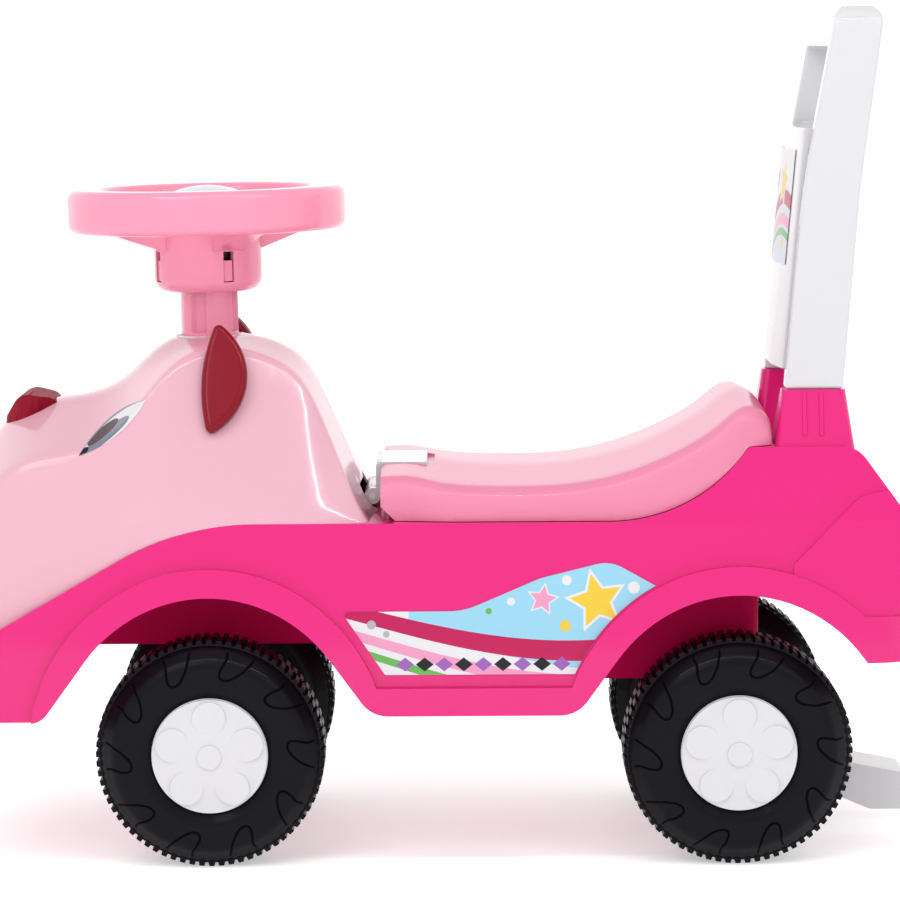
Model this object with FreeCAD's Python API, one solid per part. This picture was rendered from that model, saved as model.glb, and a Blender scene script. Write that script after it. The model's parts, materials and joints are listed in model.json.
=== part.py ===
import FreeCAD, Part

import math
import os

# Toddler push car: hollow pink body on four wheels, animal head bonnet, steering wheel,
# tip-up seat over a storage tub, and a backrest that doubles as the push handle.
# Millimetres, +Z up, front towards -X, origin on the floor under the middle of the car.

V = FreeCAD.Vector

# Overall size and stance
length = 550.0
body_width = 218.0
wall = 2.5
wheelbase = 286.0
nose_to_axle = 157.0
wheel_diameter = 124.0
wheel_width = 46.0
wheel_side_gap = 1.5
rest_gap = 0.3
run_clearance = 0.05

# Lower body
deck_z = 187.0
sill_z = 85.0
nose_sill_z = 82.0
tail_sill_z = 112.5
nose_top_z = 106.5
bonnet_slope = 29.5
bonnet_blend = 150.0
rise_radius = 100.0
rise_angle = 53.0
rise_from_axle = 23.0
rear_deck_height = 39.0
tail_rake = 42.0
tail_waist = 9.0
arch_gap = 19.0
arch_lift = 6.0
arch_flare = 36.0
lip_width = 15.0
lip_out = 4.0
tail_lip_height = 25.0
quarter_out = 2.0
quarter_from_axle = 29.0
quarter_above_lip = 27.0
quarter_run = 37.0
quarter_rise = 36.0
shoulder_z = 135.0
shoulder_radius = 150.0
deck_width = 190.0
rear_deck_width = 162.0
nose_corner_radius = 46.0
tail_corner_radius = 42.0
plan_margin = 0.6
tub_opening_length = 88.0

# Backrest sockets
socket_x_from_axle = 42.5
socket_height = 30.0
socket_foot_length = 44.0
socket_foot_width = 32.0
socket_rim = 3.0
socket_corner = 5.0
socket_rib_radius = 1.3
socket_rib_pitch = 9.0
socket_rib_height = 24.0
tenon_depth = 30.0
tenon_shoulder = 2.5

# Chassis tray
tray_wall = 2.5
tub_floor_z = 94.5
tub_width = 104.0
tub_start_x = -14.0
tub_end_x = 183.0
tub_corner = 10.0
channel_floor_z = 112.0
channel_width = 66.0
channel_start_x = -190.0
carrier_width = 100.0
hanger_thickness = 6.0
hanger_radius = 13.0
hanger_length = 45.0
lug_length = 14.0
lug_reach = 12.0
lug_thickness = 3.0
lug_setbacks = (-60.0, 34.0, 98.0)

# Head
head_height = 97.5
head_rear_x = -27.5
head_wall = 2.5
head_edge_radius = 9.0
head_crown_radius = 60.0
head_waist_radius = 40.0
collar_gap = 1.5
collar_depth = 14.0
head_boss_height = 24.0
head_boss_inset = 14.0

# Head trim
ear_length = 66.0
ear_width = 25.0
ear_thickness = 9.0
ear_edge = 3.5
ear_from_axle = 4.5
ear_foot_height = 44.0
ear_foot_y = 71.0
ear_tilt = 26.0
nose_length = 30.0
nose_width = 56.0
nose_setback = 40.0
nose_height = 63.0
eye_length = 46.0
eye_width = 9.0
eye_tilt = 39.0
eye_setback = 105.0
eye_height = 51.0
decal_thickness = 0.4
decal_glue = 0.2
decal_edge_gap = 1.0

# Side sticker, measured from the axles and the deck
side_decal_length = 172.0
side_decal_foot = 110.0
side_decal_height = 60.0
side_decal_front_height = 34.0
side_decal_from_axle = 72.0
side_decal_above_sill = 22.0

# Steering, along a column that leans forward by the rake
rake = 0.9
column_diameter = 32.0
column_bore = 21.0
column_waist = 27.0
column_rib_width = 15.0
column_foot = 12.0
steering_wheel_diameter = 155.0
steering_wheel_rise = 291.0
rim_width = 21.0
rim_height = 24.0
rim_corner = 5.0
hub_diameter = 60.0
hub_wall = 4.0
hub_drop = 46.0
hub_corner = 8.0
window_width = 6.0
window_height = 17.0
tab_clearance = 0.5
spoke_count = 4
spoke_width = 18.0
spoke_depth = 15.0
spoke_turn = -64.0
horn_pad_height = 13.0
horn_dome = 7.0
bush_wall = 3.0
bush_height = 12.0
boss_wall = 3.0
yoke_socket_wall = 5.0
yoke_socket_height = 32.0
yoke_tube_diameter = 22.0
yoke_floor = 2.0

# Axles and wheels
axle_diameter = 8.0
axle_end = 3.0
nut_diameter = 18.0
nut_thickness = 3.0
hub_tube_diameter = 18.0
rim_diameter = 63.0
rim_barrel_wall = 3.0
rim_web = 3.0
rim_web_setback = 15.0
rim_end_setback = 3.0
cap_clearance = 0.5
cap_thickness = 2.5
cap_dome = 2.0
cap_boss_diameter = 13.0
cap_lobe_diameter = 18.0
cap_lobe_circle = 42.0
cap_lobe_height = 0.6
cap_lobe_count = 5
tyre_wall = 3.0
tyre_bead = 6.0
tyre_shoulder = 9.0
lug_height = 2.0
tread_lugs = 72
tread_groove = 2.0

# Seat
seat_front_x = -25.0
seat_front_height = 26.0
seat_end_gap = 1.0
seat_wall = 3.5
seat_heel = 8.0
seat_edge_radius = 11.0
seat_crown_radius = 300.0
hinge_ahead = 5.5
hinge_above_deck = 7.0
hinge_pin_diameter = 4.0
hinge_knuckle_diameter = 9.0
hinge_ear_thickness = 6.0
hinge_ear_y = 21.0
hinge_knuckle_width = 6.0
hinge_plate_length = 25.0
hinge_plate_width = 60.0
hinge_plate_thickness = 3.5
hinge_slot = 4.0
hinge_bay_gap = 2.5

# Backrest
backrest_height = 207.0
backrest_width = 140.0
post_thickness = 13.0
post_depth = 31.5
grip_depth = 26.0
grip_height = 22.0
grip_corner = 12.0
backrest_mid_height = 112.0
backrest_mid_lean = 10.0
backrest_lean = 27.5
backrest_bend = 500.0
hand_hole_height = 44.0
rail_height = 12.0
rail_depth = 12.0
panel_thickness = 6.0
panel_bulge = 4.0
panel_side_gap = 1.0
panel_foot = 10.0
panel_decal_height = 63.0
panel_decal_width = 84.0
panel_decal_foot = 66.0

# Anti-tip foot
foot_width = 40.0
foot_clearance = 13.5
foot_pad = 6.0
foot_pad_length = 44.0
foot_pad_setback = 47.0
foot_end_inset = 4.0
foot_toe = 20.0

# Screws
screw_diameter = 3.5
screw_head_diameter = 7.0
screw_head_height = 2.5
screw_length = 12.0
screw_boss_diameter = 9.0

# Places worked out from the sizes above
nose_x = -length / 2
tail_x = length / 2
front_axle_x = nose_x + nose_to_axle
rear_axle_x = front_axle_x + wheelbase
axle_z = wheel_diameter / 2
half_body = body_width / 2
wheel_face_y = half_body - wall - wheel_side_gap
wheel_y = wheel_face_y - wheel_width / 2
wheel_half = wheel_width / 2
arch_radius = wheel_diameter / 2 + arch_gap
arch_z = axle_z + arch_lift
rear_deck_z = deck_z + rear_deck_height
rise_corner_x = rear_axle_x - rise_from_axle
socket_x = rear_axle_x + socket_x_from_axle
socket_top_z = rear_deck_z + socket_height
socket_y = (backrest_width - post_thickness) / 2
socket_front_x = socket_x - socket_foot_length / 2
foot_pad_x = rear_axle_x - foot_pad_setback
hinge_x = seat_front_x - hinge_ahead
hinge_z = deck_z + hinge_above_deck
seat_top_front_z = deck_z + seat_front_height
column_radius = column_diameter / 2
hub_bottom = steering_wheel_rise - hub_drop
hub_top = steering_wheel_rise - 2
column_top = hub_bottom + hub_wall + window_height - 3
horn_foot = hub_top - 5
post_front_x = socket_x - post_depth / 2
backrest_top_z = socket_top_z + backrest_height
hand_hole_top_z = backrest_top_z - grip_height
hand_hole_bottom_z = hand_hole_top_z - hand_hole_height
post_inner_y = backrest_width / 2 - post_thickness
far = 3 * length
X = V(1, 0, 0)
Y = V(0, 1, 0)
Z = V(0, 0, 1)

# Head cross sections from front to rear: place along the car, then half width at the foot,
# waist height and half width, edge height and half width, and crown height, above the deck
head_sections = [
    (nose_x + 0.5, 50, -59, 49, -34, 42, -26),
    (nose_x + 7, 74, -54, 72, -14, 60, 0),
    (nose_x + 21, 92, -44, 89, 4, 75, 25),
    (nose_x + 37, 101, -34, 97, 20, 82, 50),
    (nose_x + 56, 106, -24, 100, 32, 85, 61),
    (front_axle_x - 74, 108, -14, 98.5, 38, 84, 66),
    (front_axle_x - 53, 109, -6, 97, 46, 79, 75),
    (front_axle_x - 39, 109, -2, 96, 61, 71, 88),
    (front_axle_x - 17, 109, 0, 95.5, head_height - 13, 58, head_height),
    (front_axle_x + 15, 109, 0, 95.5, head_height - 7, 46, head_height - 1),
    (front_axle_x + 42, 109, 0, 95.5, 80, 48, 88),
    (front_axle_x + 60, 109, 0, 95.5, 55, 56, 64),
    (head_rear_x - 19, 109, -2, 96, 29, 70, 38),
    (head_rear_x - 9, 109, -8, 97, 8, 84, 14),
    (head_rear_x, 109, -20, 99, -4, 92, 3),
]

# Seat cross sections from front to rear: place, half width, edge height, crown height above the deck
seat_end_x = socket_front_x - seat_end_gap
seat_sections = [
    (seat_front_x, 86, seat_front_height - 3, seat_front_height),
    (seat_front_x + 30, 89, 20.5, 25),
    (seat_front_x + 70, 90, 18, 22),
    (rise_corner_x - 65, 90, 19.5, 23.5),
    (rise_corner_x - 35, 90, 26, 30.5),
    (rise_corner_x - 10, 89, 36, 41),
    (rise_corner_x + 13, 86, 50, 55),
    (seat_end_x - 14, 82, 60, 64),
    (seat_end_x - 5, 78, 57, 61),
    (seat_end_x, 74, 49, 52),
]


def rounded(corners, place, grow=0.0):
    """Closed wire through (a, b, radius) corners, each rounded as far as its two sides allow."""
    points = [V(a, b, 0) for a, b, r in corners]
    count = len(points)
    sides = [points[(i + 1) % count] - points[i] for i in range(count)]
    turns = [sides[i - 1].getAngle(sides[i]) for i in range(count)]
    wanted = [corners[i][2] * math.tan(turns[i] / 2) for i in range(count)]
    room = []
    for i in range(count):
        asked = wanted[i] + wanted[(i + 1) % count]
        room.append(min(1.0, 0.98 * sides[i].Length / max(asked, 0.001)))
    ends = []
    for i in range(count):
        reach = wanted[i] * min(room[i - 1], room[i])
        back = sides[i - 1] * (-1 / sides[i - 1].Length)
        ahead = sides[i] * (1 / sides[i].Length)
        if reach < 0.01:
            ends.append((points[i], None, points[i]))
            continue
        radius = reach / math.tan(turns[i] / 2)
        inward = (back + ahead).normalize()
        middle = points[i] + inward * (radius / math.cos(turns[i] / 2) - radius)
        ends.append((points[i] + back * reach, middle, points[i] + ahead * reach))
    edges = []
    for i in range(count):
        start, middle, end = ends[i]
        if middle is not None:
            arc = Part.Arc(*[place(p.x, p.y) for p in (start, middle, end)])
            edges.append(arc.toShape())
        following = ends[(i + 1) % count][0]
        if end.distanceToPoint(following) > 1e-6:
            edges.append(Part.makeLine(place(end.x, end.y), place(following.x, following.y)))
    wire = Part.Wire(edges)
    return wire.makeOffset2D(grow) if grow else wire


def side_prism(corners, y_low, y_high, grow=0.0):
    wire = rounded(corners, lambda a, b: V(a, y_low, b), grow)
    return Part.Face(wire).extrude(V(0, y_high - y_low, 0))


def front_prism(corners, x_low, x_high, grow=0.0):
    wire = rounded(corners, lambda a, b: V(x_low, a, b), grow)
    return Part.Face(wire).extrude(V(x_high - x_low, 0, 0))


def plan_prism(corners, z_low, z_high, grow=0.0):
    wire = rounded(corners, lambda a, b: V(a, b, z_low), grow)
    return Part.Face(wire).extrude(V(0, 0, z_high - z_low))


def block(x_low, x_high, y_low, y_high, z_low, z_high):
    return Part.makeBox(x_high - x_low, y_high - y_low, z_high - z_low, V(x_low, y_low, z_low))


def rod(radius, start, axis, reach):
    return Part.makeCylinder(radius, reach, start, axis)


def ring(outer, inner, start, axis, reach):
    return rod(outer, start, axis, reach).cut(rod(inner, start, axis, reach))


def turned(corners):
    """Solid of revolution about Z of a rounded (radius, z) outline."""
    wire = rounded(corners, lambda a, b: V(a, 0, b))
    return Part.Face(wire).revolve(V(0, 0, 0), Z, 360)


def ball_cap(radius, foot, rise):
    """Ball whose cap rises by a height over a disc of a given radius at foot."""
    ball = (radius * radius + rise * rise) / (2 * rise)
    return Part.makeSphere(ball, V(0, 0, foot + rise - ball))


def mirrored(half):
    """Front view corners from one side's (y, z, radius) list, given upwards."""
    return half + [(-y, z, r) for y, z, r in reversed(half)]


def joined(shapes):
    return shapes[0].fuse(shapes[1:]).removeSplitter()


def both_sides(shape):
    return [shape, shape.mirror(V(0, 0, 0), Y)]


def around(shape, count, first=0.0):
    """Copies of a shape turned evenly about Z."""
    copies = []
    for i in range(count):
        copy = shape.copy()
        copy.rotate(V(0, 0, 0), Z, first + i * 360 / count)
        copies.append(copy)
    return copies


def in_column_frame(shape):
    """Carry a shape from the column's own frame, axle at its origin, to the car."""
    moved = shape.copy()
    moved.rotate(V(0, 0, 0), Y, -rake)
    moved.translate(V(front_axle_x, 0, axle_z))
    return moved


def on_wheel(shape, x, side):
    """Carry a wheel piece, turned about Z with its outer face up, to one end of an axle."""
    moved = shape.copy()
    moved.rotate(V(0, 0, 0), X, -90 * side)
    moved.translate(V(x, side * wheel_y, axle_z))
    return moved


def screw(seat, along):
    """Pan head screw whose head seats at a point and whose shank runs along a direction."""
    shank = rod(screw_diameter / 2, seat, along, screw_length)
    head = rod(screw_head_diameter / 2, seat, along * -1, screw_head_height)
    return joined([shank, head])


def screw_holes(seats, along):
    return [rod(screw_diameter / 2, seat, along, screw_length) for seat in seats]


# Lower body


def arch_corners(axle_x, rear_z, front_z, rear_radius, front_radius):
    """Bottom corners and apex of one wheel arch, from rear to front."""
    spread = math.tan(math.radians(arch_flare))
    apex_z = arch_z + arch_radius / math.sin(math.radians(arch_flare))
    return [
        (axle_x + (apex_z - rear_z) * spread, rear_z, rear_radius),
        (axle_x, apex_z, arch_radius),
        (axle_x - (apex_z - front_z) * spread, front_z, front_radius),
    ]


def top_corners():
    """Top line of the lower body from the nose to the tail."""
    slope_run = (deck_z - nose_top_z) / math.tan(math.radians(bonnet_slope))
    rise_run = rear_deck_height / math.tan(math.radians(rise_angle))
    return [
        (nose_x, nose_top_z, 3),
        (nose_x + slope_run, deck_z, bonnet_blend),
        (rise_corner_x, deck_z, rise_radius),
        (rise_corner_x + rise_run, rear_deck_z, 4),
        (tail_x - tail_rake, rear_deck_z, 16),
        (tail_x - tail_waist, rear_deck_z - 46, 60),
        (tail_x, rear_deck_z - 88, 40),
    ]


def body_side_corners():
    corners = top_corners() + [(tail_x, tail_sill_z, 4)]
    corners += arch_corners(rear_axle_x, tail_sill_z, sill_z, 0, 18)
    corners += arch_corners(front_axle_x, sill_z, nose_sill_z, 18, 12)
    return corners + [(nose_x, nose_sill_z, 8)]


def below_top_corners():
    return top_corners() + [(tail_x, -far, 0), (nose_x, -far, 0)]


def body_front_corners():
    return mirrored([
        (half_body, -far, 0),
        (half_body, shoulder_z, shoulder_radius),
        (deck_width / 2, deck_z, 0),
        (rear_deck_width / 2, rear_deck_z, 0),
        (rear_deck_width / 2, far, 0),
    ])


def body_plan_corners():
    half = half_body + plan_margin
    return [
        (nose_x, -half, nose_corner_radius),
        (tail_x, -half, tail_corner_radius),
        (tail_x, half, tail_corner_radius),
        (nose_x, half, nose_corner_radius),
    ]


def body_blank(side_corners, side_grow, width_grow):
    side = side_prism(side_corners, -far, far, side_grow)
    front = front_prism(body_front_corners(), -far, far, width_grow)
    plan = plan_prism(body_plan_corners(), -far, far, width_grow)
    return side.common(front).common(plan)


def body_cavity():
    return body_blank(below_top_corners(), -wall, -wall)


def under_top_line(clearance):
    """Everything under the body's top line, to trim what stands on the deck."""
    ahead = nose_x - length
    corners = [(ahead, nose_top_z, 0)] + top_corners() + [(tail_x, -far, 0), (ahead, -far, 0)]
    return side_prism(corners, -far, far, clearance)


def arch_lips():
    """Raised bands round the arches, along the sills and along the tail."""
    lip_radius = arch_radius + lip_width
    zones = [rod(lip_radius, V(x, -far, arch_z), Y, 2 * far) for x in (front_axle_x, rear_axle_x)]
    zones.append(block(front_axle_x, rear_axle_x, -far, far, 0, sill_z + lip_width))
    zones.append(block(rear_axle_x, 2 * tail_x, -far, far, 0, tail_sill_z + tail_lip_height))
    return body_blank(body_side_corners(), 0, lip_out).common(joined(zones))


def quarter_panels():
    """Slightly raised rear quarters, under a line that climbs from the rear arches to the tail."""
    start_x = rear_axle_x + quarter_from_axle
    start_z = tail_sill_z + tail_lip_height + quarter_above_lip
    zone = side_prism([
        (start_x, start_z, 0),
        (start_x + quarter_run, start_z + quarter_rise, 22),
        (tail_x + quarter_out, start_z + quarter_rise + 8, 0),
        (tail_x + quarter_out, 0, 0),
        (start_x, 0, 0),
    ], -far, far)
    return body_blank(body_side_corners(), 0, quarter_out).common(zone)


def socket_outline(z, long, wide):
    corners = [
        (socket_x + a * long / 2, socket_y + b * wide / 2, socket_corner)
        for a, b in ((-1, -1), (1, -1), (1, 1), (-1, 1))
    ]
    return rounded(corners, lambda a, b: V(a, b, z))


def backrest_socket():
    """Tapered socket on the rear deck, on the +Y side."""
    foot = socket_outline(rear_deck_z - wall, socket_foot_length, socket_foot_width)
    top = socket_outline(socket_top_z, post_depth + socket_rim, post_thickness + socket_rim)
    return joined([Part.makeLoft([foot, top], True, True)] + socket_ribs())


def socket_ribs():
    """Two ribs that climb the socket's outer face."""
    top_y = socket_y + (post_thickness + socket_rim) / 2
    foot_y = socket_y + socket_foot_width / 2
    climb = V(0, top_y - foot_y, socket_height + wall).normalize()
    ribs = []
    for x in (socket_x - socket_rib_pitch * 0.6, socket_x + socket_rib_pitch * 0.4):
        end = V(x, top_y, socket_top_z) - climb * socket_rib_radius
        ribs.append(rod(socket_rib_radius, end, climb * -1, socket_rib_height))
    return ribs


def tenon(clearance):
    """Foot of a backrest post inside its socket, on the +Y side."""
    half_long = post_depth / 2 - tenon_shoulder + clearance
    half_wide = post_thickness / 2 - tenon_shoulder + clearance
    return block(socket_x - half_long, socket_x + half_long, socket_y - half_wide, socket_y + half_wide,
                 socket_top_z - tenon_depth - clearance, socket_top_z)


def tray_screw_seats():
    """Screw seats under the tray's lugs: one pair beside the channel, two beside the tub."""
    seats = []
    for i, setback in enumerate(lug_setbacks):
        inner_y = (channel_width if i == 0 else tub_width) / 2
        for side in (-1, 1):
            middle_y = side * (inner_y + lug_reach / 2)
            seats.append(V(tub_start_x + setback, middle_y, deck_z - wall - lug_thickness))
    return seats


def head_screw_seats():
    seats = []
    for x in (front_axle_x + 28, head_rear_x - 22):
        for side in (-1, 1):
            seats.append(V(x, side * (deck_width / 2 - head_boss_inset), deck_z - wall))
    return seats


def hinge_ear():
    """Ear on the deck that carries the seat hinge pin, on the +Y side."""
    half = hinge_knuckle_diameter / 2
    corners = [
        (hinge_x - half, deck_z - wall, 0),
        (hinge_x + half, deck_z - wall, 0),
        (hinge_x + half, hinge_z + half, half),
        (hinge_x - half, hinge_z + half, half),
    ]
    low_y = hinge_ear_y - hinge_ear_thickness / 2
    return side_prism(corners, low_y, low_y + hinge_ear_thickness)


def hinge_pin(clearance):
    half = hinge_ear_y + hinge_ear_thickness / 2 + hinge_knuckle_width
    return rod(hinge_pin_diameter / 2 + clearance, V(hinge_x, -half, hinge_z), Y, 2 * half)


def body_shell():
    blank = joined([body_blank(body_side_corners(), 0, 0), quarter_panels(), arch_lips()])
    additions = both_sides(backrest_socket()) + both_sides(hinge_ear())
    boss_height = screw_length - lug_thickness
    for seat in tray_screw_seats():
        additions.append(rod(screw_boss_diameter / 2, V(seat.x, seat.y, deck_z - wall), Z, boss_height))
    shell = joined([blank.cut(body_cavity())] + additions)
    tub_half = tub_width / 2 - tray_wall
    opening_x = tub_start_x + 16
    cuts = [
        block(opening_x, opening_x + tub_opening_length, -tub_half, tub_half,
              deck_z - 2 * wall, deck_z + wall),
        in_column_frame(rod(column_radius + bush_wall, V(0, 0, 0), Z, deck_z)),
        hinge_pin(run_clearance),
    ]
    cuts += both_sides(tenon(run_clearance))
    cuts += screw_holes(tray_screw_seats(), Z) + screw_holes(head_screw_seats(), Z)
    return shell.cut(cuts)


# Chassis tray


def hanger():
    """Rear axle hanger under the tub, on the +Y side."""
    corners = [
        (tub_end_x - hanger_length, tub_floor_z + tray_wall / 2, 0),
        (tub_end_x, tub_floor_z + tray_wall / 2, 0),
        (rear_axle_x + hanger_radius, axle_z + hanger_radius, hanger_radius),
        (rear_axle_x + hanger_radius, axle_z - hanger_radius, hanger_radius),
        (rear_axle_x - hanger_radius, axle_z - hanger_radius, hanger_radius),
    ]
    return side_prism(corners, carrier_width / 2 - hanger_thickness, carrier_width / 2)


def foot_screw_seats():
    return [V(foot_pad_x + share * foot_pad_length, 0, tub_floor_z - foot_pad) for share in (0.25, 0.6)]


def lower_bush_foot():
    return (channel_floor_z - axle_z) / math.cos(math.radians(rake)) + 1


def tub_corners(inset):
    """Plan of the storage tub, round at its rear corners."""
    half = tub_width / 2 - inset
    front = tub_start_x + inset
    rear = tub_end_x - inset
    corner = tub_corner - inset
    return [(front, -half, 0), (rear, -half, corner), (rear, half, corner), (front, half, 0)]


def chassis_tray():
    channel_half = channel_width / 2
    tub = plan_prism(tub_corners(0), tub_floor_z, far)
    channel = block(channel_start_x, tub_start_x + tray_wall, -channel_half, channel_half,
                    channel_floor_z, far)
    outside = joined([tub, channel]).common(body_cavity())
    tub_inside = plan_prism(tub_corners(tray_wall), tub_floor_z + tray_wall, far)
    channel_inside = block(channel_start_x + tray_wall, tub_start_x, -channel_half + tray_wall,
                           channel_half - tray_wall, channel_floor_z + tray_wall, far)
    bearing = rod(column_radius + bush_wall + boss_wall, V(0, 0, 0), Z, lower_bush_foot() + bush_height)
    bearing = in_column_frame(bearing).common(block(-far, far, -far, far, channel_floor_z, far))
    pieces = [outside.cut([tub_inside, channel_inside]), bearing] + both_sides(hanger())
    for seat in tray_screw_seats():
        inner_y = abs(seat.y) - lug_reach / 2 - tray_wall / 2
        outer_y = abs(seat.y) + lug_reach / 2
        low_y, high_y = (inner_y, outer_y) if seat.y > 0 else (-outer_y, -inner_y)
        pieces.append(block(seat.x - lug_length / 2, seat.x + lug_length / 2, low_y, high_y,
                            seat.z, seat.z + lug_thickness))
    for seat in foot_screw_seats():
        pieces.append(rod(screw_boss_diameter / 2, V(seat.x, seat.y, tub_floor_z + tray_wall / 2), Z,
                          screw_length - foot_pad))
    cuts = [
        in_column_frame(rod(column_radius + bush_wall, V(0, 0, 0), Z, 2 * channel_floor_z)),
        rod(axle_diameter / 2 + run_clearance, V(rear_axle_x, -carrier_width, axle_z), Y, 2 * carrier_width),
    ]
    cuts += screw_holes(tray_screw_seats(), Z) + screw_holes(foot_screw_seats(), Z)
    return joined(pieces).cut(cuts)


def anti_tip_foot():
    """Arm that hooks under the tub, passes over the rear axle and ends in a skid near the floor."""
    end_x = tail_x - foot_end_inset
    over_axle = axle_z + axle_diameter / 2 + 8
    corners = [
        (foot_pad_x, tub_floor_z, 0),
        (rear_axle_x + 4, tub_floor_z, 10),
        (rear_axle_x + 62, foot_clearance + 28, 20),
        (end_x, foot_clearance + foot_toe, 6),
        (end_x, foot_clearance, 6),
        (rear_axle_x + 80, foot_clearance, 8),
        (rear_axle_x + 52, foot_clearance + 12, 20),
        (rear_axle_x - 4, over_axle + 4, 10),
        (foot_pad_x + foot_pad_length - 8, tub_floor_z - foot_pad, 6),
        (foot_pad_x, tub_floor_z - foot_pad, 2),
    ]
    return side_prism(corners, -foot_width / 2, foot_width / 2).cut(screw_holes(foot_screw_seats(), Z))


# Head and its trim


def head_section(section, x, inset):
    place, foot, waist_z, waist, edge_z, edge, crown_z = section
    half = [
        (foot - inset, nose_sill_z, 0),
        (waist - inset, deck_z + waist_z, head_waist_radius),
        (edge - inset, deck_z + edge_z - inset, head_edge_radius - inset),
    ]
    crown = [(0, deck_z + crown_z - inset, head_crown_radius)]
    other = [(-y, z, r) for y, z, r in reversed(half)]
    return rounded(half + crown + other, lambda a, b: V(x, a, b))


def head_form(inset):
    wires = [head_section(s, s[0], inset) for s in head_sections]
    wires[0] = head_section(head_sections[0], head_sections[0][0] + inset, inset)
    wires[-1] = head_section(head_sections[-1], head_sections[-1][0] - inset, inset)
    return Part.makeLoft(wires, True, False)


def upper_bush_foot():
    return (deck_z + head_height - axle_z) / math.cos(math.radians(rake)) - collar_depth


def head_shell(outside):
    hollow = outside.cut(head_form(head_wall))
    collar = rod(column_radius + bush_wall + boss_wall, V(0, 0, upper_bush_foot()), Z, 2 * collar_depth)
    bosses = [in_column_frame(collar).common(outside)]
    for seat in head_screw_seats():
        boss = rod(screw_boss_diameter / 2, V(seat.x, seat.y, deck_z - 20), Z, head_boss_height + 20)
        bosses.append(boss.common(outside))
    bush_seat = rod(column_radius + bush_wall, V(0, 0, 0), Z, upper_bush_foot() + bush_height)
    column_hole = rod(column_radius + collar_gap, V(0, 0, 0), Z, 2 * steering_wheel_rise)
    bay_half = hinge_plate_width / 2 + hinge_bay_gap
    bay_reach = hinge_knuckle_diameter / 2 + hinge_bay_gap
    hinge_bay = block(hinge_x - bay_reach, far, -bay_half, bay_half, 0, hinge_z + bay_reach)
    shell = joined([hollow] + bosses).cut(under_top_line(0))
    cuts = [in_column_frame(bush_seat), in_column_frame(column_hole), hinge_bay]
    return shell.cut(cuts + screw_holes(head_screw_seats(), Z))


def ear(outside):
    """Floppy ear that hangs down the head's side, on the +Y side."""
    top = V(ear_width * 0.3, 0, ear_length)
    foot = V(ear_width * 0.15, 0, 0)
    rear = V(ear_width, 0, ear_length * 0.52)
    front = V(0, 0, ear_length * 0.45)
    outline = Part.Wire([Part.Arc(top, rear, foot).toShape(), Part.Arc(foot, front, top).toShape()])
    blade = Part.Face(outline).extrude(V(0, ear_thickness, 0))
    blade = blade.makeFillet(ear_edge, blade.Edges)
    blade.rotate(V(0, 0, 0), X, ear_tilt)
    blade.translate(V(front_axle_x - ear_from_axle, ear_foot_y, deck_z + ear_foot_height))
    return blade.cut(outside)


def nose_button(outside):
    x = nose_x + nose_setback
    z = deck_z + nose_height
    half = nose_width / 2
    plan = [
        (x - 1, -half * 0.5, 14),
        (x + nose_length * 0.45, -half, 12),
        (x + nose_length, -half * 0.5, 14),
        (x + nose_length, half * 0.5, 14),
        (x + nose_length * 0.45, half, 12),
        (x - 1, half * 0.5, 14),
    ]
    side = [
        (x, z - 30, 0),
        (x, z - 12, 6),
        (x + nose_length * 0.3, z + 2, 9),
        (x + nose_length, z - 2, 8),
        (x + nose_length, z - 30, 0),
    ]
    return plan_prism(plan, 0, far).common(side_prism(side, -far, far)).cut(outside)


def eye_decal(skin):
    """Almond sticker over the head's edge, on the +Y side."""
    half = eye_length / 2
    bow = eye_width / 2
    inner = V(-half, 0, 0)
    outer = V(half, 0, 0)
    outline = Part.Wire([
        Part.Arc(inner, V(0, 0, bow), outer).toShape(),
        Part.Arc(outer, V(0, 0, -bow), inner).toShape(),
    ])
    almond = Part.Face(outline).extrude(V(0, half_body, 0))
    almond.rotate(V(0, 0, 0), Y, -eye_tilt)
    almond.translate(V(nose_x + eye_setback, 10, deck_z + eye_height))
    return almond.common(skin)


def side_decal():
    """Printed panel between the arches, on the +Y side."""
    x = front_axle_x + side_decal_from_axle
    z = sill_z + side_decal_above_sill
    foot_inset = (side_decal_length - side_decal_foot) / 2
    corners = [
        (x, z + side_decal_front_height, 2),
        (x + foot_inset * 0.75, z, 2),
        (x + foot_inset * 0.75 + side_decal_foot, z, 2),
        (x + side_decal_length, z + side_decal_height * 0.75, 2),
        (x + side_decal_length * 0.84, z + side_decal_height, 20),
        (x + side_decal_length * 0.62, z + side_decal_height * 0.85, 30),
        (x + side_decal_length * 0.38, z + side_decal_front_height, 40),
    ]
    lip_edge = arch_radius + lip_width + decal_edge_gap
    lips = [rod(lip_edge, V(x, -far, arch_z), Y, 2 * far) for x in (front_axle_x, rear_axle_x)]
    inside = body_blank(below_top_corners(), 0, decal_glue)
    skin = body_blank(below_top_corners(), 0, decal_glue + decal_thickness).cut(inside)
    return skin.common(side_prism(corners, 0, far)).cut(lips)


# Steering


def spoke():
    """One spoke in the XZ plane, rising from the hub to the rim."""
    inner = hub_diameter / 2 - hub_wall
    outer = steering_wheel_diameter / 2 - rim_width / 2
    rim_foot = steering_wheel_rise - rim_height / 2
    corners = [
        (inner, rim_foot - spoke_depth + 3, 0),
        (outer, rim_foot + 2, 0),
        (outer, steering_wheel_rise + rim_height / 2 - 6, 0),
        (inner, hub_top, 0),
    ]
    return side_prism(corners, -spoke_width / 2, spoke_width / 2)


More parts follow.
